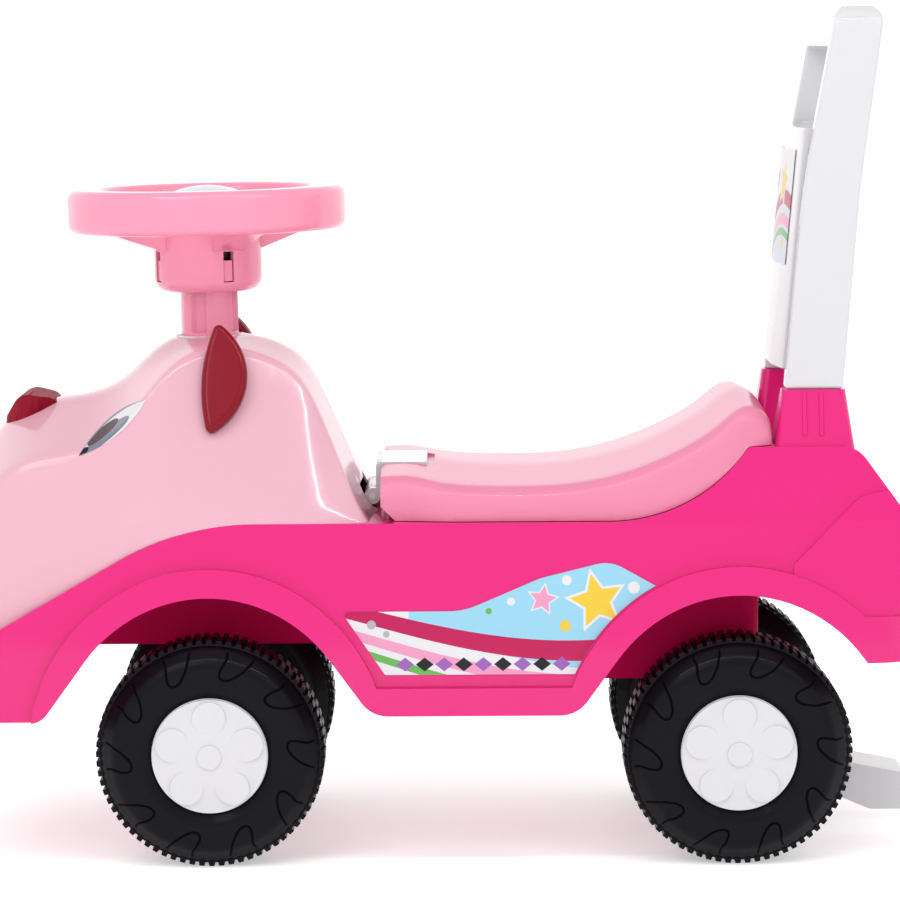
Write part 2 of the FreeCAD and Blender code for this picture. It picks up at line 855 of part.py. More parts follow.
def steering_wheel():
    outer = steering_wheel_diameter / 2
    inner = outer - rim_width
    low = steering_wheel_rise - rim_height / 2
    high = steering_wheel_rise + rim_height / 2
    rim = turned([(inner, low, rim_corner), (outer, low, rim_corner),
                  (outer, high, rim_corner), (inner, high, rim_corner)])
    hub = turned([(0, hub_bottom, 0), (hub_diameter / 2, hub_bottom, hub_corner),
                  (hub_diameter / 2, hub_top, 2), (0, hub_top, 0)])
    wheel = joined([rim, hub] + around(spoke(), spoke_count, spoke_turn))
    bore = rod(hub_diameter / 2 - hub_wall, V(0, 0, hub_bottom + hub_wall), Z, hub_drop)
    neck = rod(column_radius + run_clearance, V(0, 0, hub_bottom - 1), Z, hub_wall + 2)
    window = block(0, hub_diameter, -window_width / 2, window_width / 2, hub_bottom + hub_wall + 2,
                   hub_bottom + hub_wall + 2 + window_height)
    return in_column_frame(wheel.cut([bore, neck] + around(window, spoke_count, spoke_turn)))


def horn_pad():
    radius = hub_diameter / 2 - hub_wall - rest_gap
    pad = rod(radius, V(0, 0, horn_foot), Z, horn_pad_height + horn_dome)
    return in_column_frame(pad.common(ball_cap(radius, horn_foot + horn_pad_height, horn_dome)))


def squeaker_bulb():
    """Rubber bulb between the column's head and the horn pad."""
    radius = column_radius + 2
    middle = (column_top + horn_foot) / 2
    bulb = turned([(0, column_top, 0), (radius - 4, column_top, 2), (radius, middle, 8),
                   (radius - 4, horn_foot, 2), (0, horn_foot, 0)])
    return in_column_frame(bulb)


def steering_column():
    waist_foot = upper_bush_foot() + bush_height + 2
    shaft = rod(column_radius, V(0, 0, column_foot), Z, waist_foot - column_foot)
    waist = rod(column_waist / 2, V(0, 0, waist_foot), Z, column_top - waist_foot)
    rib = block(0, column_radius, -column_rib_width / 2, column_rib_width / 2, waist_foot, column_top)
    rib = rib.common(rod(column_radius, V(0, 0, 0), Z, column_top))
    ribs = around(rib, spoke_count, spoke_turn)
    tab_half = window_width / 2 - tab_clearance
    tab_foot = hub_bottom + hub_wall + 2 + tab_clearance
    tab = block(column_bore / 2 + 1, hub_diameter / 2 - 1, -tab_half, tab_half, tab_foot, column_top)
    body = joined([shaft, waist] + ribs + around(tab, spoke_count, spoke_turn))
    bore = rod(column_bore / 2, V(0, 0, 0), Z, 2 * steering_wheel_rise)
    return in_column_frame(body.cut([bore, column_screw_hole()]))


def column_screw_seat():
    return V(-column_radius - yoke_socket_wall, 0, column_foot + yoke_socket_height / 2)


def column_screw_hole():
    return rod(screw_diameter / 2, column_screw_seat(), X, screw_length)


def steering_yoke():
    """Front axle carrier: socket for the column's foot on a cross tube for the axle."""
    outer = column_radius + yoke_socket_wall
    low = -yoke_tube_diameter / 2 - yoke_floor
    socket = rod(outer, V(0, 0, low), Z, column_foot + yoke_socket_height - low)
    tube = rod(yoke_tube_diameter / 2, V(0, -carrier_width / 2, 0), Y, carrier_width)
    bore = rod(column_radius + run_clearance, V(0, 0, column_foot), Z, yoke_socket_height + 1)
    axle = rod(axle_diameter / 2 + run_clearance, V(0, -carrier_width, 0), Y, 2 * carrier_width)
    return in_column_frame(joined([socket, tube]).cut([bore, axle, column_screw_hole()]))


def column_bush(foot):
    bush = ring(column_radius + bush_wall, column_radius + run_clearance, V(0, 0, foot), Z, bush_height)
    return in_column_frame(bush)


# Wheels and axles


def hub_tube_top():
    return wheel_half - rim_web_setback


def axle(x):
    half = wheel_y + hub_tube_top() + rest_gap + nut_thickness + axle_end
    return rod(axle_diameter / 2, V(x, -half, axle_z), Y, 2 * half)


def axle_nuts(x):
    start = wheel_y + hub_tube_top() + rest_gap
    nut = ring(nut_diameter / 2, axle_diameter / 2, V(x, start, axle_z), Y, nut_thickness)
    return Part.makeCompound(both_sides(nut))


def axle_spacers(x):
    start = carrier_width / 2
    reach = wheel_y - wheel_half - rest_gap - start
    sleeve = ring(hub_tube_diameter / 2, axle_diameter / 2 + run_clearance, V(x, start, axle_z), Y, reach)
    return Part.makeCompound(both_sides(sleeve))


def wheel_rim():
    """Rim with barrel, web and hub tube, outer face up."""
    radius = rim_diameter / 2
    end = wheel_half - rim_end_setback
    barrel = ring(radius, radius - rim_barrel_wall, V(0, 0, -end), Z, 2 * end)
    web = rod(radius, V(0, 0, hub_tube_top() - rim_web), Z, rim_web)
    tube = rod(hub_tube_diameter / 2, V(0, 0, -wheel_half), Z, wheel_half + hub_tube_top())
    bore = rod(axle_diameter / 2 + run_clearance, V(0, 0, -wheel_width), Z, 2 * wheel_width)
    return joined([barrel, web, tube]).cut(bore)


def hub_cap():
    """Domed cap on the rim's end, with a small boss and low round lobes."""
    radius = rim_diameter / 2 - cap_clearance
    foot = wheel_half - rim_end_setback
    disc = rod(radius, V(0, 0, foot), Z, cap_thickness + cap_dome)
    cap = disc.common(ball_cap(radius, foot + cap_thickness, cap_dome))
    boss = rod(cap_boss_diameter / 2, V(0, 0, foot), Z, cap_thickness + cap_dome + cap_lobe_height)
    lobe = rod(cap_lobe_diameter / 2, V(cap_lobe_circle / 2, 0, foot), Z,
               cap_thickness + cap_dome / 2 + cap_lobe_height)
    limit = rod(radius, V(0, 0, foot), Z, wheel_width)
    return joined([cap, boss] + [l.common(limit) for l in around(lobe, cap_lobe_count, 90)])


def tread_row(low, high, phase):
    """Ring of tread lugs with flat tops; the inner part is buried in the tyre's crown."""
    crown = wheel_diameter / 2 - lug_height
    pitch = 2 * math.pi / tread_lugs
    points = []
    for i in range(tread_lugs):
        middle = (i + phase) * pitch
        top_half = 0.26 * pitch
        top = wheel_diameter / 2 / math.cos(top_half)
        foot_half = 0.34 * pitch
        for radius, angle in ((crown, -foot_half), (top, -top_half), (top, top_half), (crown, foot_half)):
            points.append(V(radius * math.cos(middle + angle), radius * math.sin(middle + angle), low))
    row = Part.Face(Part.makePolygon(points + points[:1])).extrude(V(0, 0, high - low))
    return row.cut(rod(crown - tyre_wall / 2, V(0, 0, low), Z, high - low))


def tyre():
    """Hollow tyre, open at the beads, with two staggered rows of lugs."""
    crown = wheel_diameter / 2 - lug_height
    bead = rim_diameter / 2
    bead_z = wheel_half - rim_end_setback
    shoulder = crown - tyre_shoulder
    tread_z = wheel_half - tyre_shoulder
    outside = [
        (bead, bead_z, 1), (bead + tyre_bead, wheel_half, 6),
        (shoulder, wheel_half, 9), (crown, tread_z, 9),
    ]
    inside = [
        (bead, bead_z - tyre_wall, 0.5), (bead + tyre_bead, wheel_half - tyre_wall, 4),
        (shoulder - 1, wheel_half - tyre_wall, 6), (crown - tyre_wall, tread_z - 2, 6),
    ]
    lower_outside = [(r, -z, c) for r, z, c in reversed(outside)]
    lower_inside = [(r, -z, c) for r, z, c in inside]
    skin = turned(outside + lower_outside + lower_inside + list(reversed(inside)))
    half_groove = tread_groove / 2
    rows = [tread_row(half_groove, tread_z, 0), tread_row(-tread_z, -half_groove, 0.5)]
    return joined([skin] + rows)


# Seat and its hinge


def seat_section(section, x, inset):
    place, half, edge_z, crown_z = section
    side = [
        (half - inset, deck_z - 2 * seat_edge_radius, 0),
        (half - inset, deck_z + edge_z - inset, seat_edge_radius),
    ]
    crown = [(0, deck_z + crown_z - inset, seat_crown_radius)]
    other = [(-y, z, r) for y, z, r in reversed(side)]
    return rounded(side + crown + other, lambda a, b: V(x, a, b))


def seat_form(inset):
    wires = [seat_section(s, s[0], inset) for s in seat_sections]
    wires[0] = seat_section(seat_sections[0], seat_sections[0][0] + inset, inset)
    wires[-1] = seat_section(seat_sections[-1], seat_sections[-1][0] - inset, inset)
    return Part.makeLoft(wires, True, False)


def hinge_plate_blank():
    """L shaped plate over the seat's front edge."""
    half = hinge_plate_width / 2
    low = seat_top_front_z - hinge_plate_thickness
    front = seat_front_x - hinge_plate_thickness
    corners = [
        (front, hinge_z, 0),
        (front, seat_top_front_z, 3),
        (seat_front_x + hinge_plate_length, seat_top_front_z, 1),
        (seat_front_x + hinge_plate_length, low, 0),
        (seat_front_x, low, 0),
        (seat_front_x, hinge_z, 0),
    ]
    return side_prism(corners, -half, half)


def seat(outside):
    shell = outside.cut(seat_form(seat_wall))
    half = hinge_plate_width / 2 + rest_gap
    notch_end = seat_front_x + hinge_plate_length + hinge_slot
    notch_floor = seat_top_front_z - hinge_plate_thickness
    notch = block(seat_front_x - seat_wall, notch_end, -half, half, notch_floor, far)
    shelf = block(seat_front_x, notch_end + seat_wall, -half - seat_wall, half + seat_wall,
                  notch_floor - seat_wall, notch_floor + seat_wall)
    heel = side_prism([
        (seat_front_x - seat_heel, deck_z - seat_heel, 0),
        (seat_front_x + seat_heel, deck_z - seat_heel, 0),
        (seat_front_x + seat_heel, deck_z, 0),
        (seat_front_x - seat_heel, deck_z + 2 * seat_heel, 0),
    ], -far, far)
    return joined([shell, shelf.common(outside)]).cut([under_top_line(rest_gap), notch, heel])


def seat_hinge_plate():
    half = hinge_knuckle_diameter / 2
    ear_low = hinge_ear_y - hinge_ear_thickness / 2 - rest_gap
    ear_high = hinge_ear_y + hinge_ear_thickness / 2 + rest_gap
    reach = ear_high + hinge_knuckle_width - rest_gap
    knuckle = rod(half, V(hinge_x, -reach, hinge_z), Y, 2 * reach)
    lap = block(hinge_x, seat_front_x, -reach, reach, hinge_z, hinge_z + half)
    plate = joined([hinge_plate_blank(), knuckle, lap])
    ear_room = block(hinge_x - 2 * half, seat_front_x + 1, ear_low, ear_high,
                     deck_z, hinge_z + half + rest_gap + 1)
    return plate.cut(both_sides(ear_room) + [hinge_pin(run_clearance)])


# Backrest


def backrest_side_corners():
    mid_z = socket_top_z + backrest_mid_height
    mid_x = post_front_x + backrest_mid_lean
    top_x = post_front_x + backrest_lean
    return [
        (post_front_x, socket_top_z, 0),
        (mid_x, mid_z, backrest_bend),
        (top_x, backrest_top_z, 8),
        (top_x + grip_depth, backrest_top_z, 8),
        (mid_x + (post_depth + grip_depth) / 2 + 2, mid_z, backrest_bend),
        (post_front_x + post_depth, socket_top_z, 0),
    ]


def backrest_form():
    return side_prism(backrest_side_corners(), -backrest_width / 2, backrest_width / 2)


def behind_front(shift):
    """Everything behind the posts' front line, moved back by a distance."""
    corners = backrest_side_corners()[:3]
    corners = [(x + shift, z, r) for x, z, r in corners]
    return side_prism(corners + [(far, backrest_top_z, 0), (far, socket_top_z, 0)], -far, far)


def backrest_frame():
    half = backrest_width / 2
    arch = front_prism(mirrored([(half, socket_top_z, 0), (half, backrest_top_z, grip_corner)]), -far, far)
    gap = block(-far, far, -post_inner_y, post_inner_y, 0, hand_hole_top_z)
    outline = backrest_form().common(arch)
    rail_zone = behind_front(panel_thickness).cut(behind_front(panel_thickness + rail_depth))
    panel_foot_z = socket_top_z + panel_foot
    rails = [
        rail_zone.common(block(-far, far, -post_inner_y, post_inner_y, low, low + rail_height))
        for low in (panel_foot_z, hand_hole_bottom_z - rail_height)
    ]
    return joined([outline.cut(gap)] + rails + both_sides(tenon(0)))


def bulge(grow):
    """Leaning cylinder whose front is the crowned face of the panel."""
    half = post_inner_y - panel_side_gap
    radius = half * half / (2 * panel_bulge)
    rise = hand_hole_bottom_z - socket_top_z
    lean = math.atan2(backrest_mid_lean, backrest_mid_height)
    start = V(post_front_x - panel_bulge + radius, 0, socket_top_z)
    axis = V(math.sin(lean), 0, math.cos(lean))
    return rod(radius + grow, start - axis * rise, axis, 3 * rise)


def backrest_panel():
    half = post_inner_y - panel_side_gap
    zone = block(post_front_x - panel_bulge, far, -half, half, socket_top_z + panel_foot, hand_hole_bottom_z)
    return zone.common(bulge(0)).cut(behind_front(panel_thickness))


def backrest_sticker():
    half = panel_decal_width / 2
    low = socket_top_z + panel_decal_foot
    front = block(0, socket_x, -half, half, low, low + panel_decal_height)
    return bulge(decal_glue + decal_thickness).cut(bulge(decal_glue)).common(front)


def all_pieces():
    head = head_form(0)
    eye_skin = head_form(-decal_glue - decal_thickness).cut(head_form(-decal_glue))
    pieces = {
        "body_shell": body_shell(),
        "chassis_tray": chassis_tray(),
        "tray_screws": Part.makeCompound([screw(s, Z) for s in tray_screw_seats()]),
        "anti_tip_foot": anti_tip_foot(),
        "anti_tip_screws": Part.makeCompound([screw(s, Z) for s in foot_screw_seats()]),
        "head_shell": head_shell(head),
        "head_screws": Part.makeCompound([screw(s, Z) for s in head_screw_seats()]),
        "nose": nose_button(head),
        "steering_wheel": steering_wheel(),
        "horn_pad": horn_pad(),
        "squeaker_bulb": squeaker_bulb(),
        "steering_column": steering_column(),
        "column_bush_lower": column_bush(lower_bush_foot()),
        "column_bush_upper": column_bush(upper_bush_foot()),
        "steering_yoke": steering_yoke(),
        "column_screw": in_column_frame(screw(column_screw_seat(), X)),
        "seat": seat(seat_form(0)),
        "seat_hinge_plate": seat_hinge_plate(),
        "seat_hinge_pin": hinge_pin(0),
        "backrest_frame": backrest_frame(),
        "backrest_panel": backrest_panel(),
        "backrest_sticker": backrest_sticker(),
    }
    handed = {"ear": ear(head), "eye": eye_decal(eye_skin), "side_sticker": side_decal()}
    for name, shape in handed.items():
        pieces[name + "_right"], pieces[name + "_left"] = both_sides(shape)
    wheel = {"tyre": tyre(), "wheel_rim": wheel_rim(), "hub_cap": hub_cap()}
    for end, x in (("front", front_axle_x), ("rear", rear_axle_x)):
        pieces[end + "_axle"] = axle(x)
        pieces[end + "_axle_nuts"] = axle_nuts(x)
        pieces[end + "_axle_spacers"] = axle_spacers(x)
        for hand, side in (("left", -1), ("right", 1)):
            for name, shape in wheel.items():
                pieces["_".join((end, hand, name))] = on_wheel(shape, x, side)
    return pieces


os.makedirs("parts", exist_ok=True)
for piece_name, piece in all_pieces().items():
    piece.exportStep("parts/" + piece_name + ".step")
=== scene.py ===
import json
import math

import bpy
from mathutils import Matrix, Vector
from mathutils.bvhtree import BVHTree
from mathutils.geometry import delaunay_2d_cdt


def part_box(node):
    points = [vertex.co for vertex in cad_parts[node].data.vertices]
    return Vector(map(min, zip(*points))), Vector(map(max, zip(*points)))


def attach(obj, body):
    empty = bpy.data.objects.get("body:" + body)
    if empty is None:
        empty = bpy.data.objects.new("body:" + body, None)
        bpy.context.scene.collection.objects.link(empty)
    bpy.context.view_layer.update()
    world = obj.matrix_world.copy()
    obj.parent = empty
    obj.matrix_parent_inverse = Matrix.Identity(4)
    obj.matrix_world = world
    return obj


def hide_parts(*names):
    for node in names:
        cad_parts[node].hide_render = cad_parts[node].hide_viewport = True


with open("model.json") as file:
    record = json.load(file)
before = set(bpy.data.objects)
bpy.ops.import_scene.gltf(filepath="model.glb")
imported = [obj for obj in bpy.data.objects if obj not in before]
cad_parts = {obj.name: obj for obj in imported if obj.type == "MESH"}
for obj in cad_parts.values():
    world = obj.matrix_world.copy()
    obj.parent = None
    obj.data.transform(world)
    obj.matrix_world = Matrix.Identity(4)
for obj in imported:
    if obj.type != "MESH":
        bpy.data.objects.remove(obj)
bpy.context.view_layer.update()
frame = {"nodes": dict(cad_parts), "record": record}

nodes = frame["nodes"]
MM = 0.001
HANDS = (("left", -1), ("right", 1))

# Materials

CLOUD_SCALE = 14.0
TINT_SPREAD = 0.008
GLOSS_SPREAD = 0.15
COAT_ROUGHNESS = 0.04
SKIN_SCALE = 420.0
SKIN_DEPTH = 0.0006


def plastic(name, colour, rough=0.15, coat=0.3, shine=0.3, grain=0.012):
    """Moulded plastic with a faint orange-peel skin and a little unevenness in colour and gloss."""
    material = bpy.data.materials.new(name)
    material.use_nodes = True
    tree = material.node_tree
    shader = tree.nodes["Principled BSDF"]
    shader.inputs["Coat Weight"].default_value = coat
    shader.inputs["Coat Roughness"].default_value = COAT_ROUGHNESS
    shader.inputs["Specular IOR Level"].default_value = shine
    place = tree.nodes.new("ShaderNodeTexCoord")
    cloud = tree.nodes.new("ShaderNodeTexNoise")
    cloud.inputs["Scale"].default_value = CLOUD_SCALE
    cloud.inputs["Detail"].default_value = 3.0
    tree.links.new(place.outputs["Object"], cloud.inputs["Vector"])
    tint = tree.nodes.new("ShaderNodeMix")
    tint.data_type = "RGBA"
    tint.inputs["A"].default_value = (*[c * (1 - TINT_SPREAD) for c in colour], 1)
    tint.inputs["B"].default_value = (*[c * (1 + TINT_SPREAD) for c in colour], 1)
    tree.links.new(cloud.outputs["Fac"], tint.inputs["Factor"])
    tree.links.new(tint.outputs["Result"], shader.inputs["Base Color"])
    gloss = tree.nodes.new("ShaderNodeMapRange")
    gloss.inputs["To Min"].default_value = rough * (1 - GLOSS_SPREAD)
    gloss.inputs["To Max"].default_value = rough * (1 + GLOSS_SPREAD)
    tree.links.new(cloud.outputs["Fac"], gloss.inputs["Value"])
    tree.links.new(gloss.outputs["Result"], shader.inputs["Roughness"])
    skin = tree.nodes.new("ShaderNodeTexNoise")
    skin.inputs["Scale"].default_value = SKIN_SCALE
    skin.inputs["Detail"].default_value = 2.0
    tree.links.new(place.outputs["Object"], skin.inputs["Vector"])
    bump = tree.nodes.new("ShaderNodeBump")
    bump.inputs["Strength"].default_value = grain
    bump.inputs["Distance"].default_value = SKIN_DEPTH
    tree.links.new(skin.outputs["Fac"], bump.inputs["Height"])
    tree.links.new(bump.outputs["Normal"], shader.inputs["Normal"])
    return material


steel = plastic("zinc_steel", (0.55, 0.55, 0.57), rough=0.3, coat=0.0)
steel.node_tree.nodes["Principled BSDF"].inputs["Metallic"].default_value = 1.0
# The hook ribs get a darker, duller copy of the tyre black: painted shade along the raised hooks.
painted_hook_shade = plastic("tyre_hooks_painted_shade", (0.0008, 0.0008, 0.001), rough=0.5, coat=0.0, shine=0.03)
by_slot = {
    "hot_pink": plastic("hot_pink_plastic", (0.645, 0.005, 0.165)),
    "pale_pink": plastic("pale_pink_plastic", (0.65, 0.365, 0.44)),
    "mid_pink": plastic("wheel_pink_plastic", (0.79, 0.26, 0.38)),
    "dark_red": plastic("dark_red_plastic", (0.20, 0.002, 0.011), rough=0.16, coat=0.1, shine=0.15),
    "white": plastic("white_plastic", (0.58, 0.58, 0.60)),
    "tyre_black": plastic("tyre_black_plastic", (0.0022, 0.002, 0.0045), rough=0.42, coat=0.05, shine=0.1,
                          grain=0.06),
    "steel": steel,
    "bush": plastic("natural_plastic", (0.78, 0.77, 0.72), rough=0.4, coat=0.0),
    "bulb": plastic("soft_rubber", (0.62, 0.58, 0.5), rough=0.6, coat=0.0),
    "print": plastic("printed_film", (0.7, 0.74, 0.82), rough=0.2, coat=0.5),
}
by_node = {
    "seat": plastic("seat_pink_plastic", (0.68, 0.22, 0.345), rough=0.22, coat=0.1, shine=0.15),
    "nose": plastic("nose_red_plastic", (0.23, 0.004, 0.02), rough=0.5, coat=0.0, shine=0.1),
    # The tray gets a darker, duller copy of the body's hot pink: painted shade for its walls seen inside the
    # wheel arches.
    "chassis_tray": plastic("tray_pink_painted_shade", (0.48, 0.001, 0.075), rough=0.6, coat=0.0, shine=0.05),
}
ink_colours = {
    "paper": (0.62, 0.62, 0.64),
    "sky": (0.26, 0.52, 0.66),
    "leaf": (0.11, 0.37, 0.08),
    "blush": (0.66, 0.27, 0.42),
    "crimson": (0.42, 0.008, 0.08),
    "ink_black": (0.009, 0.009, 0.011),
    "sun": (0.68, 0.47, 0.045),
    "grey": (0.35, 0.36, 0.38),
    "plum": (0.045, 0.010, 0.018),
    "violet": (0.27, 0.10, 0.38),
    "slate": (0.17, 0.18, 0.24),
    "mist": (0.50, 0.56, 0.62),
}
inks = {ink: plastic("film_" + ink, colour, rough=0.3, coat=0.1, shine=0.2)
        for ink, colour in ink_colours.items()}
slot_of = {part["node"]: part["material_slot"] for part in frame["record"]["subparts"]}
for name, node in nodes.items():
    node.data.materials.clear()
    node.data.materials.append(by_node.get(name, by_slot[slot_of[name]]))

# Softened edges, widths in mm

EDGE_WIDTHS = {
    "backrest_frame": 1.6, "backrest_panel": 1.2, "anti_tip_foot": 1.5, "steering_wheel": 1.2,
    "seat_hinge_plate": 0.7, "seat": 0.8, "body_shell": 0.7, "head_shell": 0.7, "horn_pad": 2.0,
    "nose": 2.2, "steering_column": 0.8, "ear_left": 1.8, "ear_right": 1.8,
}
EDGE_ANGLE = math.radians(32)
WELD_GAP = 0.02 * MM
FLAT_FACE_WEIGHT = 60


def soften(name, width):
    """Rounds a node's edges; the body's large flat faces also get their normals weighed by area."""
    node = nodes[name]
    weld = node.modifiers.new("weld", "WELD")
    weld.merge_threshold = WELD_GAP
    bevel = node.modifiers.new("edges", "BEVEL")
    bevel.width = width * MM
    bevel.segments = 3
    bevel.limit_method = "ANGLE"
    bevel.angle_limit = EDGE_ANGLE
    bevel.harden_normals = name != "body_shell"
    if name == "body_shell":
        normals = node.modifiers.new("normals", "WEIGHTED_NORMAL")
        normals.weight = FLAT_FACE_WEIGHT


for softened, edge_width in EDGE_WIDTHS.items():
    soften(softened, edge_width)


# Flat shapes for the printed film, in mm

def circle(x, y, radius, count=48):
    return [(x + radius * math.cos(i * math.tau / count), y + radius * math.sin(i * math.tau / count))
            for i in range(count)]


def star(x, y, radius, turn, waist=0.48, points=5):
    outline = []
    for i in range(2 * points):
        reach = radius if i % 2 == 0 else radius * waist
        angle = math.radians(90 + turn) + i * math.pi / points
        outline.append((x + reach * math.cos(angle), y + reach * math.sin(angle)))
    return outline


def diamond(x, y, wide, tall):
    return [(x - wide / 2, y), (x, y - tall / 2), (x + wide / 2, y), (x, y + tall / 2)]


def wave(x_low, x_high, foot, crest, count=48):
    """Closed band between two curves given as functions of the share along it."""
    low, high = [], []
    for i in range(count + 1):
        share = i / count
        x = x_low + (x_high - x_low) * share
        low.append((x, foot(share)))
        high.append((x, crest(share)))
    return low + high[::-1]


def turned_left(outline):
    """The outline in counter-clockwise order."""
    area = sum(a[0] * b[1] - b[0] * a[1] for a, b in zip(outline, outline[1:] + outline[:1]))
    return outline if area > 0 else outline[::-1]


# Film cut to shape and laid on the solids

FILM_LIFT = 0.4 * MM
SIDE_START = 0.2


def rim_of(name, outward):
    """Outline, in order and in mm, of the face of a thin node that looks outward."""
    mesh = nodes[name].data
    edges = set()
    for face in mesh.polygons:
        if face.normal.dot(outward) > 0.5:
            ring = [tuple(round(c / MM, 3) for c in mesh.vertices[v].co) for v in face.vertices]
            edges.update(zip(ring, ring[1:] + ring[:1]))
    ahead = {a: b for a, b in edges if (b, a) not in edges}
    rim = [min(ahead)]
    while ahead[rim[-1]] != rim[0]:
        rim.append(ahead[rim[-1]])
    return rim


def surface_of(name):
    mesh = nodes[name].data
    return BVHTree.FromPolygons([v.co for v in mesh.vertices], [p.vertices[:] for p in mesh.polygons])


def on_side(surface, side):
    """Places a sheet's point, in mm along X and Z, on the surface's outer side."""
    inward = Vector((0, -side, 0))

    def place(x, z):
        start = Vector((x * MM, side * SIDE_START, z * MM))
        return surface.ray_cast(start, inward)[0] - inward * FILM_LIFT
    return place


def new_piece(name, points, faces, body, materials):
    mesh = bpy.data.meshes.new(name)
    mesh.from_pydata(points, [], faces)
    for material in materials:
        mesh.materials.append(material)
    for face in mesh.polygons:
        face.use_smooth = True
    piece = bpy.data.objects.new(name, mesh)
    bpy.context.collection.objects.link(piece)
    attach(piece, body)
    return piece


def grid_lines(outline, step):
    """End points of straight cuts across an outline, one step apart each way."""
    xs = [p[0] for p in outline]
    ys = [p[1] for p in outline]
    cuts = []
    at = min(xs) + step
    while at < max(xs):
        cuts.append(((at, min(ys) - 1), (at, max(ys) + 1)))
        at += step
    at = min(ys) + step
    while at < max(ys):
        cuts.append(((min(xs) - 1, at), (max(xs) + 1, at)))
        at += step
    return cuts


def printed_sheet(name, outline, shapes, place, step, body, node, flip=False):
    """Sheet of film cut to an outline, with printed shapes, laid on a surface by place(x, y)."""
    points, faces, lines = [], [], []
    for ring in [turned_left(outline)] + [turned_left(shape) for shape, ink in shapes]:
        faces.append(list(range(len(points), len(points) + len(ring))))
        points += [Vector(p) for p in ring]
    for ends in grid_lines(outline, step):
        lines.append((len(points), len(points) + 1))
        points += [Vector(p) for p in ends]
    flat, _, triangles, _, _, owners = delaunay_2d_cdt(points, lines, faces, 0, 1e-5)
    used_inks = ["paper"] + sorted({ink for shape, ink in shapes} - {"paper"})
    kept, index, colours = [], {}, []
    for triangle, owner in zip(triangles, owners):
        if 0 not in owner:
            continue
        kept.append([index.setdefault(v, len(index)) for v in (reversed(triangle) if flip else triangle)])
        top = max(owner)
        colours.append(used_inks.index(shapes[top - 1][1]) if top else 0)
    placed = [place(flat[v].x, flat[v].y) for v in index]
    piece = new_piece(name, placed, kept, body, [inks[ink] for ink in used_inks])
    for face, colour in zip(piece.data.polygons, colours):
        face.material_index = colour
    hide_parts(node)


# Side stickers: swept ribbons, stars, dots and a row of diamonds on a pale blue and white ground

body_surface = surface_of("body_shell")
side_rim = [(x, z) for x, y, z in rim_of("side_sticker_left", Vector((0, -1, 0)))]
side_low = min(z for x, z in side_rim)


def side_ribbon(drop):
    """Height of a ribbon's edge as a function of the share along it."""
    return lambda s: side_low + 27 - drop * (0.8 + 0.6 * s) - 20 * math.sin(2.6 * s - 0.4)


side_shapes = [(wave(-10, 130, lambda s: side_low + 26 * (1 - s) ** 2, lambda s: side_low + 76), "sky")]
for drop, thick, ink in ((0, 9, "crimson"), (9, 3, "paper"), (12, 6, "blush"), (18, 2.4, "paper"),
                         (20.4, 4.5, "leaf")):
    side_shapes.append((wave(-60, 130, side_ribbon(drop), side_ribbon(drop - thick)), ink))
for i in range(9):
    ink = "ink_black" if i % 2 else "violet"
    side_shapes.append((diamond(-12 + 10.5 * i, side_low + 5.6, 9.6, 7.6), ink))
for x, rise, radius, turn, ink in ((91, 39, 14.5, 12, "sun"), (62, 40, 7.5, -10, "blush"),
                                   (107, 24, 6.5, 25, "violet")):
    side_shapes.append((star(x, side_low + rise, radius * 1.22, turn), "paper"))
    side_shapes.append((star(x, side_low + rise, radius, turn), ink))
for x, rise, radius, ink in ((75, 50, 2.6, "paper"), (45, 39, 2.2, "paper"), (74, 26, 3.0, "sun"),
                             (111, 46, 3.2, "paper"), (-30, 27, 2.4, "grey"), (-22, 22, 1.8, "grey"),
                             (33, 34, 1.7, "leaf")):
    side_shapes.append((circle(x, side_low + rise, radius), ink))
for hand, side in HANDS:
    printed_sheet("side_film_" + hand, side_rim, side_shapes, on_side(body_surface, side), 4.0, "chassis",
                  "side_sticker_" + hand, flip=side > 0)

# Backrest sticker: ribbons, stars and dots, in mm across and up

panel_surface = surface_of("backrest_panel")
PANEL_START = 0.1
back_rim = [(y, z) for x, y, z in rim_of("backrest_sticker", Vector((-1, 0, 0)))]
back_middle = (min(z for y, z in back_rim) + max(z for y, z in back_rim)) / 2


def on_panel(y, z):
    """Places a sheet's point on the panel's front."""
    hit = panel_surface.ray_cast(Vector((PANEL_START, y * MM, z * MM)), Vector((1, 0, 0)))[0]
    return hit - Vector((FILM_LIFT, 0, 0))


def back_ribbon(drop):
    """Height of a ribbon's edge as a function of the share along it."""
    return lambda s: back_middle - 8 - drop + 9 * math.sin(5 * s)


back_shapes = [(wave(-60, 60, lambda s: back_middle - 60,
                     lambda s: back_middle + 2 + 8 * math.sin(5 * s)), "mist")]
for drop, thick, ink in ((0, 8, "crimson"), (8, 3, "paper"), (11, 6, "blush"), (17, 4, "leaf")):
    back_shapes.append((wave(-60, 60, back_ribbon(drop), back_ribbon(drop - thick)), ink))
for y, rise, radius, turn, ink in ((-14, 13, 14, 8, "sun"), (18, 14, 8, -12, "violet"),
                                   (30, -14, 6, 20, "paper")):
    back_shapes.append((star(y, back_middle + rise, radius * 1.2, turn), "paper"))
    back_shapes.append((star(y, back_middle + rise, radius, turn), ink))
for y, rise, radius, ink in ((4, 22, 2.4, "paper"), (30, 24, 2.8, "sun"), (-33, 20, 3.0, "paper"),
                             (-26, -20, 3, "sun")):
    back_shapes.append((circle(y, back_middle + rise, radius), ink))
printed_sheet("backrest_film", back_rim, back_shapes, on_panel, 5.0, "chassis", "backrest_sticker", flip=True)

# Eyes: white almond film with a grey lid line and iris, a plum pupil and a dark inner corner

head_surface = surface_of("head_shell")
eye_low, eye_high = [Vector(c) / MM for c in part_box("eye_left")]
EYE_X = (eye_low.x + eye_high.x) / 2
EYE_Z = (eye_low.z + eye_high.z) / 2
EYE_TILT = math.radians(39)
EYE_HALF = 23.0
EYE_BOW = 4.6


